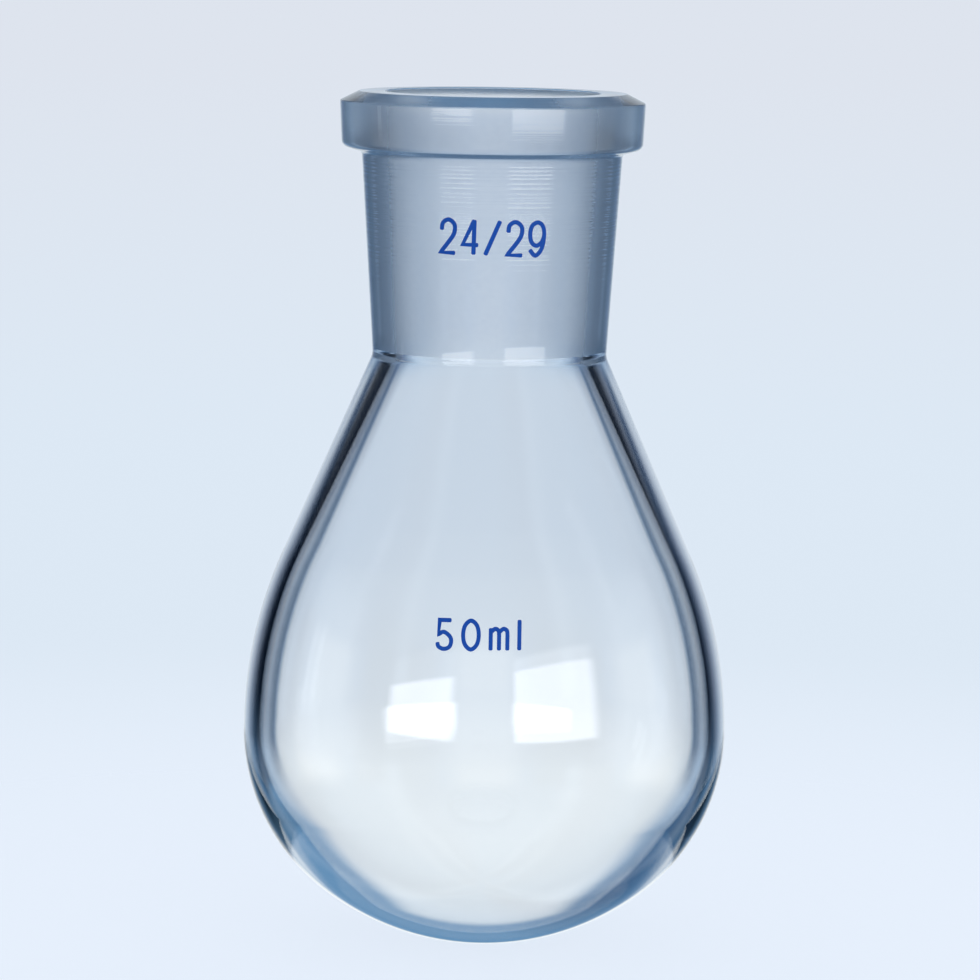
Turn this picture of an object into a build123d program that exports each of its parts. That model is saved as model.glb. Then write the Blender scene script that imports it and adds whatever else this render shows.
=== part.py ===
from build123d import *
from math import acos, atan2, cos, degrees, radians, sin
import os

# Pear-shaped round-bottom flask with a ground taper socket, blown as one piece of glass.
# Millimetres, +Z up, origin at the bottom pole. One half section is turned about the Z axis,
# so in the section X is the radius and Y is the height. Angles are in degrees.

# Ground socket, a 24/29 joint: bore at its wide end, length of the cone, taper on the diameter
SOCKET_BORE = 24.0
SOCKET_LENGTH = 29.0
SOCKET_TAPER = 0.1
MOUTH_BEVEL = 0.2

# Collar round the mouth: flat rim, sloping bevel, slightly tapered side, conical underside
RIM_DIAMETER = 30.0
RIM_BEVEL_DROP = 1.05
COLLAR_TOP_DIAMETER = 34.2
COLLAR_FOOT_DIAMETER = 33.7
COLLAR_HEIGHT = 6.1
UNDERSIDE_DROP = 0.65

# Outside of the neck, a cone from the underside of the collar down to the end of the socket
NECK_TOP_DIAMETER = 29.2
NECK_BASE_DIAMETER = 26.3

# Outside of the bulb: cap at the bottom, bowl arc, belly arc, straight flank, shoulder arc
BELLY_DIAMETER = 54.4
BELLY_HEIGHT = 24.3
CAP_ANGLE = 38.0
BELLY_ARC = 49.4
FLANK_ANGLE = 23.75
SHOULDER_ARC = 2.0

# Inside of the bulb: the same chain, with more of it in the cap, which thickens the wall of the bowl
BELLY_WALL = 1.75
BOTTOM_WALL = 1.8
INNER_CAP_ANGLE = 62.0
INNER_SHOULDER_ARC = 2.0


def toward(angle):
    """Unit vector of the section, at an angle above the radius."""
    return Vector(cos(radians(angle)), sin(radians(angle)))


def tangent_angle(belly_arc, shoulder_centre, shoulder_arc):
    """Angle of the outward normal of the flank that touches the belly arc and the shoulder arc."""
    reach = shoulder_centre - BELLY_CENTRE
    return degrees(atan2(reach.Y, reach.X) - acos((belly_arc + shoulder_arc) / reach.length))


def bulb_curve(wall, bottom, cap_angle, flank_angle, shoulder_centre, shoulder_arc, neck_lean):
    """One face of the bulb, at the depth of its wall, from the axis at the bottom to the neck."""
    radius = BELLY_DIAMETER / 2 - wall
    belly_arc = BELLY_ARC - wall
    cap_edge = toward(cap_angle - 90)
    ratio = -cap_edge.Y / (1 - cap_edge.X)
    cap_radius = (ratio * radius - BELLY_HEIGHT + bottom) / (ratio - 1)
    bowl_radius = (radius - cap_edge.X * cap_radius) / (1 - cap_edge.X)
    CenterArc((0, bottom + cap_radius), cap_radius, 270, cap_angle)
    CenterArc((radius - bowl_radius, BELLY_HEIGHT), bowl_radius, 270 + cap_angle, 90 - cap_angle)
    CenterArc(BELLY_CENTRE, belly_arc, 0, flank_angle)
    Line(
        BELLY_CENTRE + toward(flank_angle) * belly_arc,
        shoulder_centre - toward(flank_angle) * shoulder_arc,
    )
    CenterArc(shoulder_centre, shoulder_arc, 180 + flank_angle, -flank_angle - neck_lean)


# The bowl arc and the belly arc meet level with the widest point, where both are upright
BELLY_CENTRE = Vector(BELLY_DIAMETER / 2 - BELLY_ARC, BELLY_HEIGHT)

# The neck starts where the flank, at its own angle, touches the shoulder arc beside it
neck_length = SOCKET_LENGTH - COLLAR_HEIGHT - UNDERSIDE_DROP
neck_lean = degrees(atan2((NECK_TOP_DIAMETER - NECK_BASE_DIAMETER) / 2, neck_length))
neck_to_shoulder = toward(-neck_lean) * SHOULDER_ARC
shoulder_x = NECK_BASE_DIAMETER / 2 + neck_to_shoulder.X
flank_normal = toward(FLANK_ANGLE)
shoulder_rise = (BELLY_ARC + SHOULDER_ARC - flank_normal.X * (shoulder_x - BELLY_CENTRE.X)) / flank_normal.Y
shoulder_centre = Vector(shoulder_x, BELLY_HEIGHT + shoulder_rise)
neck_base_height = shoulder_centre.Y - neck_to_shoulder.Y
top = neck_base_height + SOCKET_LENGTH

# Inside, the ground cone ends level with the start of the neck, and the flank touches the arcs beside it
socket_end_radius = (SOCKET_BORE - SOCKET_TAPER * SOCKET_LENGTH) / 2
socket_lean = degrees(atan2(SOCKET_TAPER / 2, 1))
socket_end = Vector(socket_end_radius, neck_base_height)
inner_shoulder_centre = socket_end + toward(-socket_lean) * INNER_SHOULDER_ARC
inner_flank_angle = tangent_angle(BELLY_ARC - BELLY_WALL, inner_shoulder_centre, INNER_SHOULDER_ARC)

# Neck, collar and mouth, from the start of the neck over the rim and down to the end of the ground cone
joint_corners = [
    (NECK_BASE_DIAMETER / 2, neck_base_height),
    (NECK_TOP_DIAMETER / 2, neck_base_height + neck_length),
    (COLLAR_FOOT_DIAMETER / 2, top - COLLAR_HEIGHT),
    (COLLAR_TOP_DIAMETER / 2, top - RIM_BEVEL_DROP),
    (RIM_DIAMETER / 2, top),
    (SOCKET_BORE / 2 + MOUTH_BEVEL, top),
    (SOCKET_BORE / 2 - SOCKET_TAPER * MOUTH_BEVEL / 2, top - MOUTH_BEVEL),
    (socket_end_radius, neck_base_height),
]

with BuildPart() as flask:
    with BuildSketch(Plane.XZ):
        with BuildLine():
            bulb_curve(0, 0, CAP_ANGLE, FLANK_ANGLE, shoulder_centre, SHOULDER_ARC, neck_lean)
            Polyline(*joint_corners)
            bulb_curve(
                BELLY_WALL,
                BOTTOM_WALL,
                INNER_CAP_ANGLE,
                inner_flank_angle,
                inner_shoulder_centre,
                INNER_SHOULDER_ARC,
                socket_lean,
            )
            Line((0, 0), (0, BOTTOM_WALL))
        make_face()
    revolve(axis=Axis.Z)

flask.part.label = "flask"
os.makedirs("parts", exist_ok=True)
export_step(flask.part, "parts/flask.step")
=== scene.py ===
import math

import bmesh
import bpy
from mathutils import Matrix, Vector


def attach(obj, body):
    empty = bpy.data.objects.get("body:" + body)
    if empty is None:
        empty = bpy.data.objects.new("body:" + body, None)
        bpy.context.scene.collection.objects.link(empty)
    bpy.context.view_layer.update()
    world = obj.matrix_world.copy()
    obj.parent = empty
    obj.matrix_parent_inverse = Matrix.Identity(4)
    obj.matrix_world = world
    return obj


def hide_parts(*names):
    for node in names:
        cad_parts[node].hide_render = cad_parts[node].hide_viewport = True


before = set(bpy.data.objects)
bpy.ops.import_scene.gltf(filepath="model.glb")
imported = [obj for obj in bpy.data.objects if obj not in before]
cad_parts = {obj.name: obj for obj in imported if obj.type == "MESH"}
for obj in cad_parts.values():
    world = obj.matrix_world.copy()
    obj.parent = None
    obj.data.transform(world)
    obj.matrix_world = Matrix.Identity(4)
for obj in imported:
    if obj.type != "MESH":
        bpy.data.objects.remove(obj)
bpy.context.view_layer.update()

# Sizes are in millimetres and angles in degrees, until a mesh is made in metres.
# In the section of the flask, x is the distance from the axis and z is the height over its lowest point.
MM = 0.001

# Ground socket: bore at the mouth, length of the ground cone, loss of bore over each millimetre
SOCKET_BORE = 24.0
SOCKET_LENGTH = 29.0
SOCKET_TAPER = 0.1

# Collar: flat rim, sloping bevel, side that narrows a little, conical underside
RIM_RADIUS = 15.0
RIM_BEVEL_DROP = 1.05
COLLAR_TOP_RADIUS = 17.1
COLLAR_FOOT_RADIUS = 16.85
COLLAR_HEIGHT = 6.1
UNDERSIDE_DROP = 0.65

# Outside of the neck and of the bulb
NECK_TOP_RADIUS = 14.6
NECK_BASE_RADIUS = 13.15
NECK_BASE_HEIGHT = 67.179
BELLY_RADIUS = 27.2
BELLY_HEIGHT = 24.3
BELLY_ARC = 49.4
SHOULDER_ARC = 2.0
CAP_ANGLE = 38.0

# Inside of the bulb: thickness of the wall, and how far its bottom cap reaches
BELLY_WALL = 1.75
BOTTOM_WALL = 1.8
INNER_CAP_ANGLE = 62.0

# Fire-polished corners, as radii of their rounding
COLLAR_ROUNDING = 0.3
FOOT_ROUNDING = 0.8
UNDERSIDE_ROUNDING = 0.6
RIM_ROUNDING = 0.2
MOUTH_ROUNDING = 0.2

# The lathed mesh. Its ground zone is told from the outside of the neck by the distance from the axis,
# with a margin.
SIDES_ROUND = 256
ARC_STEPS = 40
ROUNDING_STEPS = 6
SEAM_GAP = 0.001
GROUND_MARGIN = 0.01

MOUTH_HEIGHT = NECK_BASE_HEIGHT + SOCKET_LENGTH


def along(angle):
    """Unit vector in the section, at an angle above the outward direction."""
    return Vector((math.cos(math.radians(angle)), math.sin(math.radians(angle))))


def arc(centre, radius, start, end, steps):
    """Points on an arc of the section, without the first one."""
    angles = [start + (end - start) * step / steps for step in range(1, steps + 1)]
    return [centre + along(angle) * radius for angle in angles]


def line(start, end, steps):
    """Points on a straight line of the section, without the first one."""
    return [start.lerp(end, step / steps) for step in range(1, steps + 1)]


def rounded(corners, roundings, steps):
    """Polyline through the corners, each inner corner cut by a tangent arc of its own radius."""
    points = [corners[0]]
    for before, corner, after, radius in zip(corners, corners[1:], corners[2:], roundings):
        back = (before - corner).normalized()
        ahead = (after - corner).normalized()
        half_turn = back.angle(ahead) / 2
        centre = corner + (back + ahead).normalized() * radius / math.sin(half_turn)
        first = corner + back * radius / math.tan(half_turn) - centre
        last = corner + ahead * radius / math.tan(half_turn) - centre
        for step in range(steps + 1):
            points.append(centre + turned(first, last, step / steps))
    points.append(corners[-1])
    return points


def turned(first, last, share):
    """The first vector turned a share of the way to the last, at the same length."""
    angle = first.angle_signed(last)
    return Matrix.Rotation(-angle * share, 2) @ first


def bulb(bottom, wall, cap_angle, shoulder_centre, neck_lean):
    """One face of the bulb, from the axis at the bottom up to the neck."""
    radius = BELLY_RADIUS - wall
    belly_arc = BELLY_ARC - wall
    belly_centre = Vector((BELLY_RADIUS - BELLY_ARC, BELLY_HEIGHT))
    cap_edge = along(cap_angle - 90)
    ratio = -cap_edge.y / (1 - cap_edge.x)
    cap_radius = (ratio * radius - (BELLY_HEIGHT - bottom)) / (ratio - 1)
    bowl_radius = (radius - cap_edge.x * cap_radius) / (1 - cap_edge.x)
    reach = shoulder_centre - belly_centre
    reach_angle = math.degrees(math.atan2(reach.y, reach.x))
    flank = reach_angle - math.degrees(math.acos((belly_arc + SHOULDER_ARC) / reach.length))
    points = [Vector((0, bottom))]
    cap_centre = Vector((0, bottom + cap_radius))
    bowl_centre = Vector((radius - bowl_radius, BELLY_HEIGHT))
    points += arc(cap_centre, cap_radius, -90, cap_angle - 90, ARC_STEPS)
    points += arc(bowl_centre, bowl_radius, cap_angle - 90, 0, ARC_STEPS)
    points += arc(belly_centre, belly_arc, 0, flank, ARC_STEPS)
    points += line(points[-1], shoulder_centre - along(flank) * SHOULDER_ARC, ARC_STEPS // 2)
    points += arc(shoulder_centre, SHOULDER_ARC, 180 + flank, 180 - neck_lean, ARC_STEPS // 2)
    return points


def flask_section():
    """The wall of the flask, from the lowest point outside, over the rim, to the lowest point inside."""
    neck_foot = Vector((NECK_BASE_RADIUS, NECK_BASE_HEIGHT))
    neck_length = SOCKET_LENGTH - COLLAR_HEIGHT - UNDERSIDE_DROP
    neck_lean = math.degrees(math.atan2(NECK_TOP_RADIUS - NECK_BASE_RADIUS, neck_length))
    outer_shoulder = neck_foot + along(-neck_lean) * SHOULDER_ARC
    socket_end = Vector(((SOCKET_BORE - SOCKET_TAPER * SOCKET_LENGTH) / 2, NECK_BASE_HEIGHT))
    socket_lean = math.degrees(math.atan(SOCKET_TAPER / 2))
    inner_shoulder = socket_end + along(-socket_lean) * SHOULDER_ARC
    outside = bulb(0, 0, CAP_ANGLE, outer_shoulder, neck_lean)
    inside = bulb(BOTTOM_WALL, BELLY_WALL, INNER_CAP_ANGLE, inner_shoulder, socket_lean)
    collar = [
        outside[-1],
        Vector((NECK_TOP_RADIUS, NECK_BASE_HEIGHT + neck_length)),
        Vector((COLLAR_FOOT_RADIUS, MOUTH_HEIGHT - COLLAR_HEIGHT)),
        Vector((COLLAR_TOP_RADIUS, MOUTH_HEIGHT - RIM_BEVEL_DROP)),
        Vector((RIM_RADIUS, MOUTH_HEIGHT)),
        Vector((SOCKET_BORE / 2, MOUTH_HEIGHT)),
        inside[-1],
    ]
    roundings = [UNDERSIDE_ROUNDING, FOOT_ROUNDING, COLLAR_ROUNDING, RIM_ROUNDING, MOUTH_ROUNDING]
    return outside[:-1] + rounded(collar, roundings, ROUNDING_STEPS) + inside[-2::-1]


def outer_radius(section, height):
    """Radius of the outside of the flask at a height below the collar, from its section."""
    for lower, upper in zip(section, section[1:]):
        if lower.y <= height <= upper.y:
            share = (height - lower.y) / (upper.y - lower.y)
            return lower.x + (upper.x - lower.x) * share


def section_mesh(section):
    """The section as a chain of edges in the plane of x and z."""
    mesh = bpy.data.meshes.new("flask_section")
    points = [(point.x * MM, 0, point.y * MM) for point in section]
    links = [(step, step + 1) for step in range(len(points) - 1)]
    mesh.from_pydata(points, links, [])
    return mesh


# Node helpers


def put(tree, kind, inputs=None, **settings):
    """Adds a node, sets its properties, and links or sets its inputs."""
    node = tree.nodes.new(kind)
    for name, value in settings.items():
        setattr(node, name, value)
    for name, value in (inputs or {}).items():
        if isinstance(value, bpy.types.NodeSocket):
            tree.links.new(value, node.inputs[name])
        else:
            node.inputs[name].default_value = value
    return node


def calculate(tree, operation, *values):
    """A Math node on numbers or sockets."""
    return put(tree, "ShaderNodeMath", dict(enumerate(values)), operation=operation).outputs[0]


def blend(tree, factor, plain, other):
    """A Mix node that goes from one colour to the other."""
    return put(tree, "ShaderNodeMix", {0: factor, 6: plain, 7: other}, data_type="RGBA").outputs[2]


def eased(tree, value, start, end):
    """Goes smoothly from 0 to 1 while the value goes from start to end."""
    inputs = {"Value": value, "From Min": start, "From Max": end}
    return put(tree, "ShaderNodeMapRange", inputs, interpolation_type="SMOOTHSTEP").outputs[0]


def ramp(tree, value, lowest, highest, stops):
    """A colour ramp over a value, with its stops given as (value, colour)."""
    inputs = {"Value": value, "From Min": lowest, "From Max": highest}
    place = put(tree, "ShaderNodeMapRange", inputs).outputs[0]
    node = put(tree, "ShaderNodeValToRGB", {0: place})
    elements = node.color_ramp.elements
    while len(elements) < len(stops):
        elements.new(1.0)
    for element, (stop, colour) in zip(elements, stops):
        element.position = (stop - lowest) / (highest - lowest)
        element.color = (*colour, 1)
    return node.outputs[0]


def lathe_tree():
    """Turns a chain of edges about the z axis into a closed skin, its ground zone in its own material."""
    tree = bpy.data.node_groups.new("lathed_wall", "GeometryNodeTree")
    sockets = [
        ("Geometry", "NodeSocketGeometry"),
        ("Sides", "NodeSocketInt"),
        ("Ground Radius", "NodeSocketFloat"),
        ("Ground Foot", "NodeSocketFloat"),
        ("Clear Glass", "NodeSocketMaterial"),
        ("Ground Glass", "NodeSocketMaterial"),
    ]
    for name, kind in sockets:
        tree.interface.new_socket(name, in_out="INPUT", socket_type=kind)
    tree.interface.new_socket("Geometry", in_out="OUTPUT", socket_type="NodeSocketGeometry")
    given = put(tree, "NodeGroupInput").outputs
    counts = put(tree, "GeometryNodeAttributeDomainSize", {0: given["Geometry"]}).outputs
    section_size = counts["Point Count"]
    columns = calculate(tree, "ADD", given["Sides"], 1)
    grid = put(tree, "GeometryNodeMeshGrid", {"Vertices X": columns, "Vertices Y": section_size})
    index = put(tree, "GeometryNodeInputIndex").outputs[0]
    in_column = calculate(tree, "DIVIDE", calculate(tree, "ADD", index, 0.5), section_size)
    column = calculate(tree, "FLOOR", in_column)
    row = calculate(tree, "SUBTRACT", index, calculate(tree, "MULTIPLY", column, section_size))
    position = put(tree, "GeometryNodeInputPosition").outputs[0]
    point = put(
        tree,
        "GeometryNodeSampleIndex",
        {0: given["Geometry"], "Value": position, "Index": row},
        data_type="FLOAT_VECTOR",
        domain="POINT",
    ).outputs[0]
    turn = calculate(tree, "MULTIPLY", calculate(tree, "DIVIDE", column, given["Sides"]), math.tau)
    turned_point = put(
        tree,
        "ShaderNodeVectorRotate",
        {"Vector": point, "Angle": turn},
        rotation_type="Z_AXIS",
    ).outputs[0]
    placed = put(
        tree,
        "GeometryNodeSetPosition",
        {"Geometry": grid.outputs[0], "Position": turned_point},
    )
    closed = put(
        tree,
        "GeometryNodeMergeByDistance",
        {"Geometry": placed.outputs[0], "Distance": SEAM_GAP * MM},
    )
    smooth = put(tree, "GeometryNodeSetShadeSmooth", {"Geometry": closed.outputs[0]})
    real = put(tree, "GeometryNodeRealizeInstances", {"Geometry": smooth.outputs[0]})
    clear = put(
        tree,
        "GeometryNodeSetMaterial",
        {"Geometry": real.outputs[0], "Material": given["Clear Glass"]},
    )
    place = put(tree, "ShaderNodeSeparateXYZ", {0: position}).outputs
    flat_place = put(tree, "ShaderNodeCombineXYZ", {"X": place["X"], "Y": place["Y"]}).outputs[0]
    distance = put(tree, "ShaderNodeVectorMath", {0: flat_place}, operation="LENGTH").outputs["Value"]
    in_bore = calculate(tree, "LESS_THAN", distance, given["Ground Radius"])
    above_foot = calculate(tree, "GREATER_THAN", place["Z"], given["Ground Foot"])
    ground_zone = calculate(tree, "MULTIPLY", in_bore, above_foot)
    ground = put(
        tree,
        "GeometryNodeSetMaterial",
        {"Geometry": clear.outputs[0], "Selection": ground_zone, "Material": given["Ground Glass"]},
    )
    put(tree, "NodeGroupOutput", {"Geometry": ground.outputs[0]})
    return tree


def made_by(mesh, tree, values):
    """Runs a Geometry Nodes tree on a mesh and returns the plain mesh it gives."""
    worker = bpy.data.objects.new("worker", mesh)
    bpy.context.scene.collection.objects.link(worker)
    modifier = worker.modifiers.new("shape", "NODES")
    modifier.node_group = tree
    for socket in tree.interface.items_tree:
        if socket.in_out == "INPUT" and socket.name in values:
            modifier[socket.identifier] = values[socket.name]
    evaluated = worker.evaluated_get(bpy.context.evaluated_depsgraph_get())
    plain = bpy.data.meshes.new_from_object(evaluated)
    bpy.data.objects.remove(worker)
    return plain


def shown(name, mesh):
    """Links a finished mesh as a piece that sits at the origin."""
    piece = bpy.data.objects.new(name, mesh)
    bpy.context.scene.collection.objects.link(piece)
    return piece


# Materials

GLASS_IOR = 1.47

# Tint of the glass for how far edge-on it is seen: 0 is straight on and 1 is along the surface. The
# bowl's is a plain tint. The ramps of the bulb, the neck and the rim paint shade into the glass: a dark
# line just inside the bulb's outline, and darkening towards the outlines of the neck and of the rim's
# bevel.
BOWL_TINT = (0.98, 0.99, 1.0)
# Painted shade: a dark blue line a little inside the bulb's outline
BULB_EDGE_SHADE = [
    (0.0, (0.98, 0.99, 1.0)),
    (0.60, (0.97, 0.985, 1.0)),
    (0.63, (0.30, 0.40, 0.52)),
    (0.65, (0.08, 0.14, 0.24)),
    (0.685, (0.25, 0.33, 0.43)),
    (0.73, (0.74, 0.80, 0.86)),
    (0.79, (0.92, 0.95, 0.98)),
]
# Painted shade: the neck darkens and turns blue towards its outlines
NECK_EDGE_SHADE = [
    (0.0, (0.98, 0.99, 1.0)),
    (0.2, (0.90, 0.95, 0.99)),
    (0.4, (0.60, 0.73, 0.87)),
    (0.7, (0.25, 0.42, 0.65)),
]
# Painted shade: the rim's bevel darkens towards its outlines
RIM_EDGE_SHADE = [
    (0.50, (1.0, 1.0, 1.0)),
    (0.62, (0.80, 0.86, 0.94)),
    (0.72, (0.30, 0.42, 0.58)),
    (0.85, (0.12, 0.20, 0.32)),
]

# Heights over which one tint, with its painted edge shade, gives way to the next
BOWL_TO_BULB = (BELLY_HEIGHT - 9, BELLY_HEIGHT - 2)
BULB_TO_NECK = (NECK_BASE_HEIGHT - 4, NECK_BASE_HEIGHT + 0.5)
COLLAR_TO_RIM = (MOUTH_HEIGHT - RIM_BEVEL_DROP - 0.1, MOUTH_HEIGHT - RIM_BEVEL_DROP + 0.1)

# Rings left by turning on the outside of the neck: number to a millimetre, depth, the share of the depth
# that is left on the collar, and the heights over which they set in and over which they shallow again
RING_PITCH = 2.4
RING_DEPTH = 0.085
COLLAR_RINGS = 0.15
RINGS_SET_IN = (NECK_BASE_HEIGHT + 6, NECK_BASE_HEIGHT + 17)
RINGS_SHALLOW = (MOUTH_HEIGHT - COLLAR_HEIGHT - 0.6, MOUTH_HEIGHT - COLLAR_HEIGHT)

# The outside of the neck flares a little over this length above its lower end
FLARE_LENGTH = 2.6
FLARE_DEPTH = 0.14

# Ground zone: an even frost with a fine speckle. Towards the mouth its grey gives way to white, which is
# a painted lit band. The roughness stays the same.
FROST_TINT = (0.86, 0.90, 0.95)
FROST_SPECK = (0.74, 0.79, 0.87)
SPECKLE_SCALE = 1.6
FROST_ROUGHNESS = 0.42
MOUTH_PAINTED_LIGHT = (1.0, 1.0, 1.0)
MOUTH_LIGHT_RISE = (MOUTH_HEIGHT - 2.5, MOUTH_HEIGHT - 0.8)

ENAMEL_BLUE = (0.001, 0.060, 0.36)
ENAMEL_LIGHT_BLUE = (0.003, 0.078, 0.44)
ENAMEL_GRAIN = 1.2


def new_material(name):
    """A material with only a Principled BSDF and its output."""
    material = bpy.data.materials.new(name)
    material.use_nodes = True
    return material, material.node_tree, material.node_tree.nodes["Principled BSDF"]


def object_place(tree):
    """Place on the object, in millimetres."""
    place = put(tree, "ShaderNodeTexCoord").outputs["Object"]
    return put(tree, "ShaderNodeVectorMath", {0: place, "Scale": 1 / MM}, operation="SCALE").outputs[0]


def glass_tint_and_edge_shade(tree, height):
    """Tint of the clear glass at a height, with painted shade towards its outlines, for how far edge-on
    it is seen.
    """
    edge_on = put(tree, "ShaderNodeLayerWeight").outputs["Facing"]
    # Painted edge shade of the bulb, the neck and the rim
    bulb_edge_shade = ramp(tree, edge_on, 0, 1, BULB_EDGE_SHADE)
    neck_edge_shade = ramp(tree, edge_on, 0, 1, NECK_EDGE_SHADE)
    rim_edge_shade = ramp(tree, edge_on, 0, 1, RIM_EDGE_SHADE)
    tint = blend(tree, eased(tree, height, *BOWL_TO_BULB), (*BOWL_TINT, 1), bulb_edge_shade)
    tint = blend(tree, eased(tree, height, *BULB_TO_NECK), tint, neck_edge_shade)
    return blend(tree, eased(tree, height, *COLLAR_TO_RIM), tint, rim_edge_shade)


def neck_relief(tree, height):
    """Relief of the neck at a height, in millimetres: rings of turning, and a flare at its lower end."""
    noise = {"W": height, "Scale": RING_PITCH, "Detail": 2.0}
    rings = put(tree, "ShaderNodeTexNoise", noise, noise_dimensions="1D").outputs[0]
    on_collar = eased(tree, height, *RINGS_SHALLOW)
    loss = calculate(tree, "MULTIPLY", on_collar, 1 - COLLAR_RINGS)
    depth = calculate(tree, "MULTIPLY", calculate(tree, "SUBTRACT", 1.0, loss), RING_DEPTH)
    set_in = calculate(tree, "MULTIPLY", rings, eased(tree, height, *RINGS_SET_IN))
    ring_relief = calculate(tree, "MULTIPLY", set_in, depth)
    foot = {"Value": height, "From Min": NECK_BASE_HEIGHT + FLARE_LENGTH, "From Max": NECK_BASE_HEIGHT}
    over_flare = put(tree, "ShaderNodeMapRange", foot).outputs[0]
    flare = calculate(tree, "MULTIPLY", calculate(tree, "POWER", over_flare, 2.0), FLARE_DEPTH)
    return calculate(tree, "ADD", ring_relief, flare)


def clear_glass():
    """Blown glass: clear and fire polished, with painted shade that is darker and bluer edge on, and with
    the relief of the neck.
    """
    material, tree, surface = new_material("clear_glass")
    height = put(tree, "ShaderNodeSeparateXYZ", {0: object_place(tree)}).outputs["Z"]
    relief = neck_relief(tree, height)
    bump = put(tree, "ShaderNodeBump", {"Height": relief, "Distance": MM, "Strength": 1.0})
    tree.links.new(bump.outputs[0], surface.inputs["Normal"])
    tree.links.new(glass_tint_and_edge_shade(tree, height), surface.inputs["Base Color"])
    surface.inputs["Roughness"].default_value = 0.0
    surface.inputs["IOR"].default_value = GLASS_IOR
    surface.inputs["Transmission Weight"].default_value = 1.0
    return material


def ground_glass():
    """The ground inside of the socket: the same glass with a frost."""
    material, tree, surface = new_material("ground_glass")
    place = object_place(tree)
    height = put(tree, "ShaderNodeSeparateXYZ", {0: place}).outputs["Z"]
    noise = {"Vector": place, "Scale": SPECKLE_SCALE, "Detail": 6.0}
    speckle = put(tree, "ShaderNodeTexNoise", noise).outputs[0]
    frost = blend(tree, speckle, (*FROST_TINT, 1), (*FROST_SPECK, 1))
    # Painted light: the ground glass turns white just under the mouth
    tint = blend(tree, eased(tree, height, *MOUTH_LIGHT_RISE), frost, (*MOUTH_PAINTED_LIGHT, 1))
    tree.links.new(tint, surface.inputs["Base Color"])
    surface.inputs["Roughness"].default_value = FROST_ROUGHNESS
    surface.inputs["IOR"].default_value = GLASS_IOR
    surface.inputs["Transmission Weight"].default_value = 1.0
    return material


def blue_enamel():
    """Fired enamel of the size marks, a little uneven."""
    material, tree, surface = new_material("blue_enamel")
    noise = {"Vector": object_place(tree), "Scale": ENAMEL_GRAIN}
    unevenness = put(tree, "ShaderNodeTexNoise", noise).outputs[0]
    tint = blend(tree, unevenness, (*ENAMEL_BLUE, 1), (*ENAMEL_LIGHT_BLUE, 1))
    tree.links.new(tint, surface.inputs["Base Color"])
    surface.inputs["Roughness"].default_value = 0.5
    surface.inputs["Specular IOR Level"].default_value = 0.2
    return material


# Marks

# Depth of the enamel: its foot and its top over the glass
ENAMEL_FOOT = 0.01
ENAMEL_TOP = 0.04

# Ends of the strokes: how far they reach out, as a share of the stroke's width, and their own width.
# Corners are mitred, up to this cosine of half the turn.
TIP_REACH = 0.2
TIP_WIDTH = 0.5
MITRE_LIMIT = 0.7
CURVE_STEPS = 6

# Size marks. The turn is from straight in front, and the middle is a height on the flask.
NECK_MARK = {"height": 3.65, "gap": 0.91, "thickness": 0.48, "turn": 0.75, "middle": 80.8, "tilt": -1.2}
BULB_MARK = {"height": 3.02, "gap": 1.3, "thickness": 0.45, "turn": -1.7, "middle": 38.5, "tilt": 0.4}


def smooth(*points, closed=False):
    """A curve of the strokes of a sign that passes through the points."""
    spots = [Vector(point) for point in points]
    count = len(spots)
    curve = []
    for index in range(count if closed else count - 1):
        start = spots[index]
        end = spots[(index + 1) % count]
        before = spots[index - 1] if closed or index else start
        after = spots[(index + 2) % count] if closed or index < count - 2 else end
        leave = (end - before) / 2
        arrive = (after - start) / 2
        for step in range(CURVE_STEPS):
            curve.append(hermite(start, end, leave, arrive, step / CURVE_STEPS))
    return curve if closed else curve + [spots[-1]]


def hermite(start, end, leave, arrive, share):
    """Point on the curve between two points that leaves and arrives along the given directions."""
    square = share * share
    cube = square * share
    ends = start * (2 * cube - 3 * square + 1) + end * (3 * square - 2 * cube)
    return ends + leave * (cube - 2 * square + share) + arrive * (cube - square)


def straight(*points):
    """A stroke of straight lines through the points."""
    return [Vector(point) for point in points]


# Every sign has its width as a share of its height, and its strokes in a box one wide and one high
TWO = smooth(
    (0.04, 0.70),
    (0.12, 0.90),
    (0.52, 1.0),
    (0.92, 0.88),
    (0.98, 0.68),
    (0.78, 0.46),
    (0.0, 0.0),
)
NINE = smooth(
    (0.03, 0.16),
    (0.42, 0.0),
    (0.86, 0.22),
    (1.0, 0.64),
    (0.87, 0.90),
    (0.52, 1.0),
    (0.13, 0.90),
    (0.0, 0.65),
    (0.12, 0.40),
    (0.47, 0.30),
    (0.82, 0.40),
    (0.99, 0.58),
)
FIVE_BOWL = smooth(
    (0.08, 0.50),
    (0.45, 0.59),
    (0.88, 0.45),
    (1.0, 0.27),
    (0.86, 0.07),
    (0.46, 0.0),
    (0.1, 0.07),
    (0.0, 0.2),
)
ZERO = smooth(
    (0.5, 1.0),
    (0.88, 0.83),
    (1.0, 0.5),
    (0.88, 0.17),
    (0.5, 0.0),
    (0.12, 0.17),
    (0.0, 0.5),
    (0.12, 0.83),
    closed=True,
)
SIGNS = {
    "2": (0.44, [TWO + straight((1.0, 0.0))]),
    "4": (0.45, [straight((0.75, 0.0), (0.75, 1.0)), straight((0.72, 1.0), (0.0, 0.27), (1.0, 0.27))]),
    "/": (0.40, [straight((0.0, 0.0), (1.0, 1.0))]),
    "9": (0.45, [NINE]),
    "5": (0.50, [straight((0.95, 1.0), (0.15, 1.0)) + FIVE_BOWL]),
    "0": (0.56, [ZERO]),
    "m": (
        0.60,
        [
            straight((0.0, 0.0), (0.0, 0.72)),
            smooth((0.0, 0.60), (0.25, 0.72), (0.46, 0.66), (0.5, 0.50)) + straight((0.5, 0.0)),
            smooth((0.5, 0.60), (0.75, 0.72), (0.96, 0.66), (1.0, 0.50)) + straight((1.0, 0.0)),
        ],
    ),
    "l": (0.0, [straight((0.0, 0.0), (0.0, 1.0))]),
}


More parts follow.
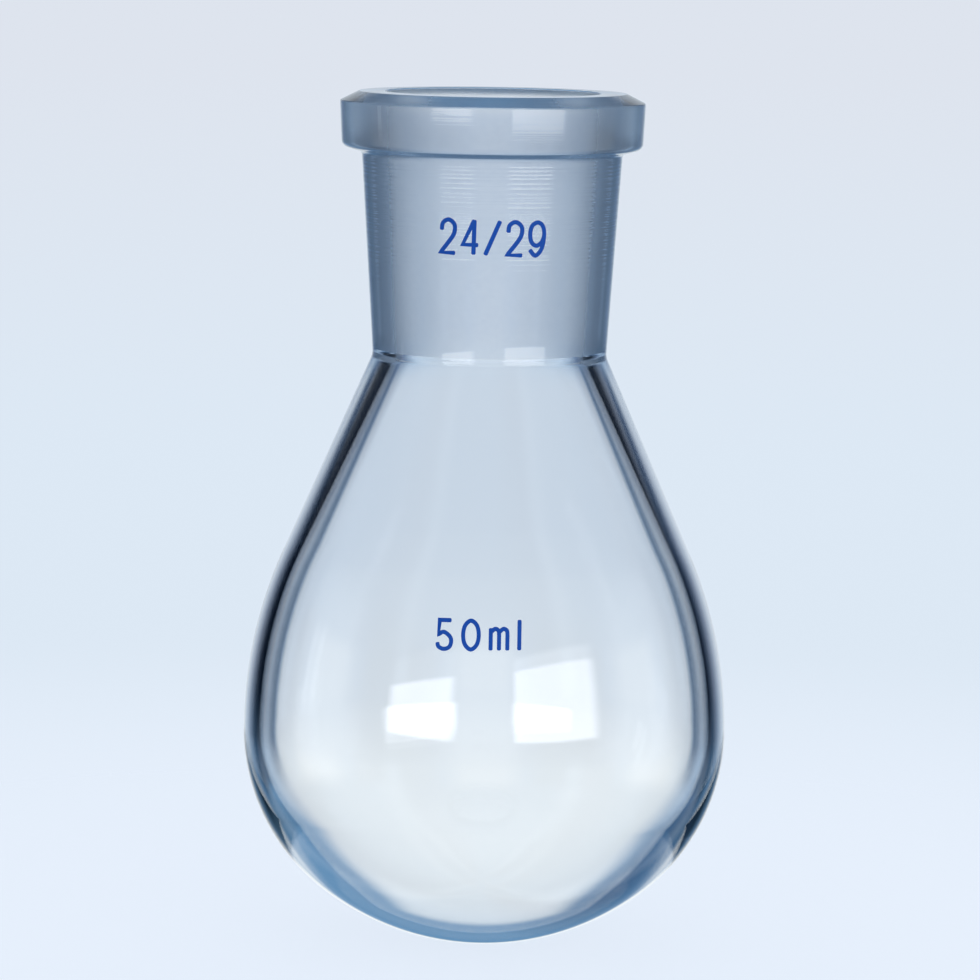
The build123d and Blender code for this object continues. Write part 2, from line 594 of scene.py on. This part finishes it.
def add_stroke(work, path, thickness, closed, placed):
    """Adds one closed band of enamel along a path, with its tips drawn in a little."""
    spots = list(path)
    half_width = thickness / 2
    halves = [half_width] * len(path)
    if not closed:
        tip = thickness * TIP_REACH
        half_tip = half_width * TIP_WIDTH
        spots = [path[0] + (path[0] - path[1]).normalized() * tip] + spots
        spots += [path[-1] + (path[-1] - path[-2]).normalized() * tip]
        halves = [half_tip] + halves + [half_tip]
    count = len(spots)
    rings = []
    for index, (spot, half) in enumerate(zip(spots, halves)):
        before = spots[index - 1] if closed or index else spot
        after = spots[(index + 1) % count] if closed or index < count - 1 else spot
        into = (spot - before).normalized()
        out = (after - spot).normalized()
        heading = (into + out).normalized()
        reach = half / max(MITRE_LIMIT, heading.dot(out if out.length else into))
        side = Vector((-heading.y, heading.x)) * reach
        corners = [
            (spot + side, ENAMEL_FOOT),
            (spot + side, ENAMEL_TOP),
            (spot - side, ENAMEL_TOP),
            (spot - side, ENAMEL_FOOT),
        ]
        rings.append([work.verts.new(placed(corner, lift)) for corner, lift in corners])
    for index in range(count if closed else count - 1):
        ring = rings[index]
        following = rings[(index + 1) % count]
        for edge in range(4):
            work.faces.new((ring[edge], ring[edge - 1], following[edge - 1], following[edge]))
    if not closed:
        work.faces.new(rings[0])
        work.faces.new(rings[-1])


def mark(name, text, section, material, height, gap, thickness, turn, middle, tilt):
    """A size mark wrapped round the outside of the flask, as a thin layer of enamel."""
    lean = Matrix.Rotation(math.radians(tilt), 2)
    widths = [SIGNS[sign][0] * height for sign in text]
    length = sum(widths) + gap * (len(text) - 1)
    start = -length / 2
    work = bmesh.new()
    for sign, width in zip(text, widths):

        def placed(spot, lift):
            across, up = lean @ Vector((spot.x, spot.y - height / 2))
            level = middle + up
            radius = outer_radius(section, level)
            angle = math.radians(turn) + across / radius
            reach = radius + lift
            return Vector((math.sin(angle) * reach, -math.cos(angle) * reach, level)) * MM

        for stroke in SIGNS[sign][1]:
            path = [Vector((start + point.x * width, point.y * height)) for point in stroke]
            add_stroke(work, path, thickness, stroke is ZERO, placed)
        start += width + gap
    bmesh.ops.recalc_face_normals(work, faces=work.faces)
    mesh = bpy.data.meshes.new(name)
    work.to_mesh(mesh)
    work.free()
    mesh.materials.append(material)
    return shown(name, mesh)


section = flask_section()
clear = clear_glass()
ground = ground_glass()
enamel = blue_enamel()

lathe_inputs = {
    "Sides": SIDES_ROUND,
    "Ground Radius": (SOCKET_BORE / 2 + GROUND_MARGIN) * MM,
    "Ground Foot": NECK_BASE_HEIGHT * MM,
    "Clear Glass": clear,
    "Ground Glass": ground,
}
flask = shown("flask_glass", made_by(section_mesh(section), lathe_tree(), lathe_inputs))
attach(flask, "root")
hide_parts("flask")

neck_mark = mark("neck_size_mark", "24/29", section, enamel, **NECK_MARK)
bulb_mark = mark("bulb_volume_mark", "50ml", section, enamel, **BULB_MARK)
for piece in (neck_mark, bulb_mark):
    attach(piece, "root")

# Studio

# Directions are seen from the flask. A side is counted from straight behind or straight in front
# of one of its four faces, so the studio is the same from all four, and a rise is an elevation.
PALE_WALL = (0.67, 0.75, 0.84)
DIM_WALL = (0.15, 0.20, 0.30)
BLACK_FLAG = (0.002, 0.005, 0.012)
LOW_PALE_WALL = (0.93, 0.98, 1.0)
SCREEN = (0.16, 0.32, 0.54)
DARK_SCREEN = (0.03, 0.08, 0.15)
TABLE = (0.13, 0.28, 0.47)
DARK_TABLE = (0.05, 0.12, 0.24)
CORNER = (0.48, 0.60, 0.74)
CEILING = (0.16, 0.22, 0.30)
ZENITH = (0.45, 0.52, 0.60)
FILL_LIGHT = (0.46, 0.48, 0.53)
BACKDROP_MIDDLE = (0.72, 0.81, 0.91)
BACKDROP_STOPS = [
    (-12, (0.81, 0.875, 0.97)),
    (-8.5, BACKDROP_MIDDLE),
    (-6, BACKDROP_MIDDLE),
    (-2, (0.73, 0.775, 0.855)),
]

# Floor: its paper, its own glow, its radius, and the distance from the flask at which it starts to fade
FLOOR_PAPER = (0.15, 0.155, 0.165)
FLOOR_GLOW = (0.72, 0.79, 0.885)
FLOOR_RADIUS = 260.0
FLOOR_FADES_FROM = 30.0
FLOOR_SIDES = 64

# Rises over which one part of the studio gives way to the next
WALLS_TO_SCREENS = (-4, -15)
SCREENS_TO_TABLE = (-19.5, -24.5)
WALLS_TO_CEILING = (18, 32)
CEILING_TO_ZENITH = (55, 75)
HALF_FACE = 45.0

# What the glass shows for every side: upright walls, blue screens under them, and the table
WALL_STOPS = [
    (-31, BLACK_FLAG),
    (-21, DIM_WALL),
    (-11, PALE_WALL),
    (11, PALE_WALL),
    (24, DIM_WALL),
    (37, BLACK_FLAG),
]
SCREEN_STOPS = [
    (-44, CORNER),
    (-39, DARK_SCREEN),
    (-29, DARK_SCREEN),
    (-21, SCREEN),
    (-10, LOW_PALE_WALL),
    (9, LOW_PALE_WALL),
    (19, SCREEN),
    (27, DARK_SCREEN),
    (39, DARK_SCREEN),
    (44, CORNER),
]
TABLE_STOPS = [
    (-44, CORNER),
    (-36, TABLE),
    (4, TABLE),
    (27, DARK_TABLE),
    (36, DARK_TABLE),
    (44, CORNER),
]


def studio_seen_in_glass(tree, side, rise):
    """Pale walls between black flags, blue screens lower down, the table under them, a dim ceiling."""
    walls = ramp(tree, side, -HALF_FACE, HALF_FACE, WALL_STOPS)
    screens = ramp(tree, side, -HALF_FACE, HALF_FACE, SCREEN_STOPS)
    table = ramp(tree, side, -HALF_FACE, HALF_FACE, TABLE_STOPS)
    seen = blend(tree, eased(tree, rise, *WALLS_TO_SCREENS), walls, screens)
    seen = blend(tree, eased(tree, rise, *SCREENS_TO_TABLE), seen, table)
    seen = blend(tree, eased(tree, rise, *WALLS_TO_CEILING), seen, (*CEILING, 1))
    return blend(tree, eased(tree, rise, *CEILING_TO_ZENITH), seen, (*ZENITH, 1))


def studio_world():
    """A pale backdrop for the camera, the studio for the rays that meet glass, and an even fill."""
    world = bpy.data.worlds.new("studio")
    world.use_nodes = True
    tree = world.node_tree
    tree.nodes.clear()
    direction = put(tree, "ShaderNodeTexCoord").outputs["Generated"]
    parts = put(tree, "ShaderNodeSeparateXYZ", {0: direction}).outputs
    heading = calculate(tree, "DEGREES", calculate(tree, "ARCTAN2", parts["X"], parts["Y"]))
    side = calculate(tree, "WRAP", heading, HALF_FACE, -HALF_FACE)
    rise = calculate(tree, "DEGREES", calculate(tree, "ARCSINE", parts["Z"]))
    studio = studio_seen_in_glass(tree, side, rise)
    backdrop = ramp(tree, rise, -90, 90, BACKDROP_STOPS)
    path = put(tree, "ShaderNodeLightPath").outputs
    glass_ray = calculate(tree, "MAXIMUM", path["Is Glossy Ray"], path["Is Transmission Ray"])
    seen = blend(tree, glass_ray, (*FILL_LIGHT, 1), studio)
    shade = blend(tree, path["Is Camera Ray"], seen, backdrop)
    light = put(tree, "ShaderNodeBackground", {"Color": shade, "Strength": 1.0})
    put(tree, "ShaderNodeOutputWorld", {"Surface": light.outputs[0]})
    return world


# Lamps. The feet are two points of the plan under the upright edges, and the heights are those of the
# level edges. The sides and top fade over the share edge of the lamp's size, and its foot over the share
# foot. It shines fully up to full_share of its height, and as upper_part of that above.
RIGHT_SOFTBOX = {
    "feet": ((145, -648), (549, -355)),
    "heights": (-14, 262),
    "brightness": 3.6,
    "edge": 0.10,
    "foot": 0.04,
    "full_share": 0.80,
    "upper_part": 0.3,
}
LEFT_SOFTBOX = {
    "feet": ((-1383, -1253), (-253, -1147)),
    "heights": (-50, 560),
    "brightness": 3.6,
    "edge": 0.12,
    "foot": 0.05,
    "full_share": 0.61,
    "upper_part": 0.1,
}
LEFT_STRIP = {
    "feet": ((-600, 10), (-600, 70)),
    "heights": (-20, 210),
    "brightness": 0.9,
    "edge": 0.3,
    "foot": 0.2,
    "full_share": 0.95,
    "upper_part": 0.9,
}
DIMMING_BLUR = 0.03


def soften(data, edge, foot, full_share, upper_part):
    """Lets a lamp fade along its edges, and shine fully only in its lower share."""
    data.use_nodes = True
    tree = data.node_tree
    place = put(tree, "ShaderNodeNewGeometry").outputs["Parametric"]
    parts = put(tree, "ShaderNodeSeparateXYZ", {0: place}).outputs
    across = calculate(tree, "ABSOLUTE", calculate(tree, "SUBTRACT", parts["X"], 0.5))
    up = parts["Y"]
    in_sides = eased(tree, across, 0.5, 0.5 - edge)
    over_foot = eased(tree, up, 0.0, foot)
    under_top = eased(tree, up, 1.0, 1 - edge)
    upper = eased(tree, up, full_share - DIMMING_BLUR, full_share + DIMMING_BLUR)
    loss = calculate(tree, "MULTIPLY", upper, 1 - upper_part)
    shine = calculate(tree, "MULTIPLY", calculate(tree, "MULTIPLY", in_sides, over_foot), under_top)
    shine = calculate(tree, "MULTIPLY", shine, calculate(tree, "SUBTRACT", 1.0, loss))
    tree.links.new(shine, tree.nodes["Emission"].inputs["Strength"])


def softbox(name, feet, heights, brightness, **fading):
    """An upright rectangular lamp over the line between two feet, turned to the flask.

    Its power is its radiance times pi and its area.
    """
    left = Vector((*feet[0], 0)) * MM
    right = Vector((*feet[1], 0)) * MM
    low, high = heights
    width = (right - left).length
    tall = (high - low) * MM
    data = bpy.data.lights.new(name, "AREA")
    data.shape = "RECTANGLE"
    data.size = width
    data.size_y = tall
    data.energy = brightness * math.pi * width * tall
    soften(data, **fading)
    lamp = bpy.data.objects.new(name, data)
    bpy.context.scene.collection.objects.link(lamp)
    middle = (left + right) / 2
    away = (right - left).cross(Vector((0, 0, 1)))
    if away.dot(middle) < 0:
        away.negate()
    lamp.location = middle + Vector((0, 0, (low + high) / 2)) * MM
    lamp.rotation_euler = away.to_track_quat("Z", "Y").to_euler()
    lamp.visible_camera = False


def studio_floor():
    """Pale floor under the flask that fades into the backdrop, and that only the camera sees."""
    mesh = bpy.data.meshes.new("studio_floor")
    work = bmesh.new()
    bmesh.ops.create_circle(work, cap_ends=True, segments=FLOOR_SIDES, radius=FLOOR_RADIUS * MM)
    work.to_mesh(mesh)
    work.free()
    material = bpy.data.materials.new("floor_paper")
    material.use_nodes = True
    tree = material.node_tree
    tree.nodes.clear()
    place = put(tree, "ShaderNodeTexCoord").outputs["Object"]
    distance = put(tree, "ShaderNodeVectorMath", {0: place}, operation="LENGTH").outputs["Value"]
    fade = eased(tree, distance, FLOOR_FADES_FROM * MM, FLOOR_RADIUS * MM)
    paper = put(tree, "ShaderNodeBsdfDiffuse", {"Color": (*FLOOR_PAPER, 1)})
    glow = put(tree, "ShaderNodeEmission", {"Color": (*FLOOR_GLOW, 1)})
    lit = put(tree, "ShaderNodeAddShader", {0: paper.outputs[0], 1: glow.outputs[0]})
    clear_air = put(tree, "ShaderNodeBsdfTransparent")
    surface = put(tree, "ShaderNodeMixShader", {0: fade, 1: lit.outputs[0], 2: clear_air.outputs[0]})
    put(tree, "ShaderNodeOutputMaterial", {"Surface": surface.outputs[0]})
    mesh.materials.append(material)
    floor = shown("studio_floor", mesh)
    floor.visible_diffuse = False
    floor.visible_glossy = False
    floor.visible_transmission = False
    floor.visible_shadow = False


# Camera: place in millimetres, tilt downwards and roll in degrees
CAMERA_PLACE = (0.29, -590.0, 120.4)
CAMERA_TILT = 6.67
CAMERA_ROLL = 0.83
CAMERA_LENS = 193.6
SENSOR_WIDTH = 36


def add_camera():
    """Camera in front of the flask, a little above it, at the photograph's perspective."""
    data = bpy.data.cameras.new("camera")
    data.lens = CAMERA_LENS
    data.sensor_width = SENSOR_WIDTH
    camera = bpy.data.objects.new("camera", data)
    bpy.context.scene.collection.objects.link(camera)
    camera.location = Vector(CAMERA_PLACE) * MM
    pitch = Matrix.Rotation(math.radians(90 - CAMERA_TILT), 3, "X")
    roll = Matrix.Rotation(math.radians(CAMERA_ROLL), 3, "Z")
    camera.rotation_euler = (pitch @ roll).to_euler()
    bpy.context.scene.camera = camera


bpy.context.scene.world = studio_world()
softbox("right_softbox", **RIGHT_SOFTBOX)
softbox("left_softbox", **LEFT_SOFTBOX)
softbox("left_strip", **LEFT_STRIP)
studio_floor()
add_camera()
bpy.context.scene.view_settings.view_transform = "Standard"
bpy.context.scene.cycles.max_bounces = 32
bpy.context.scene.cycles.transmission_bounces = 32
bpy.context.scene.cycles.glossy_bounces = 16
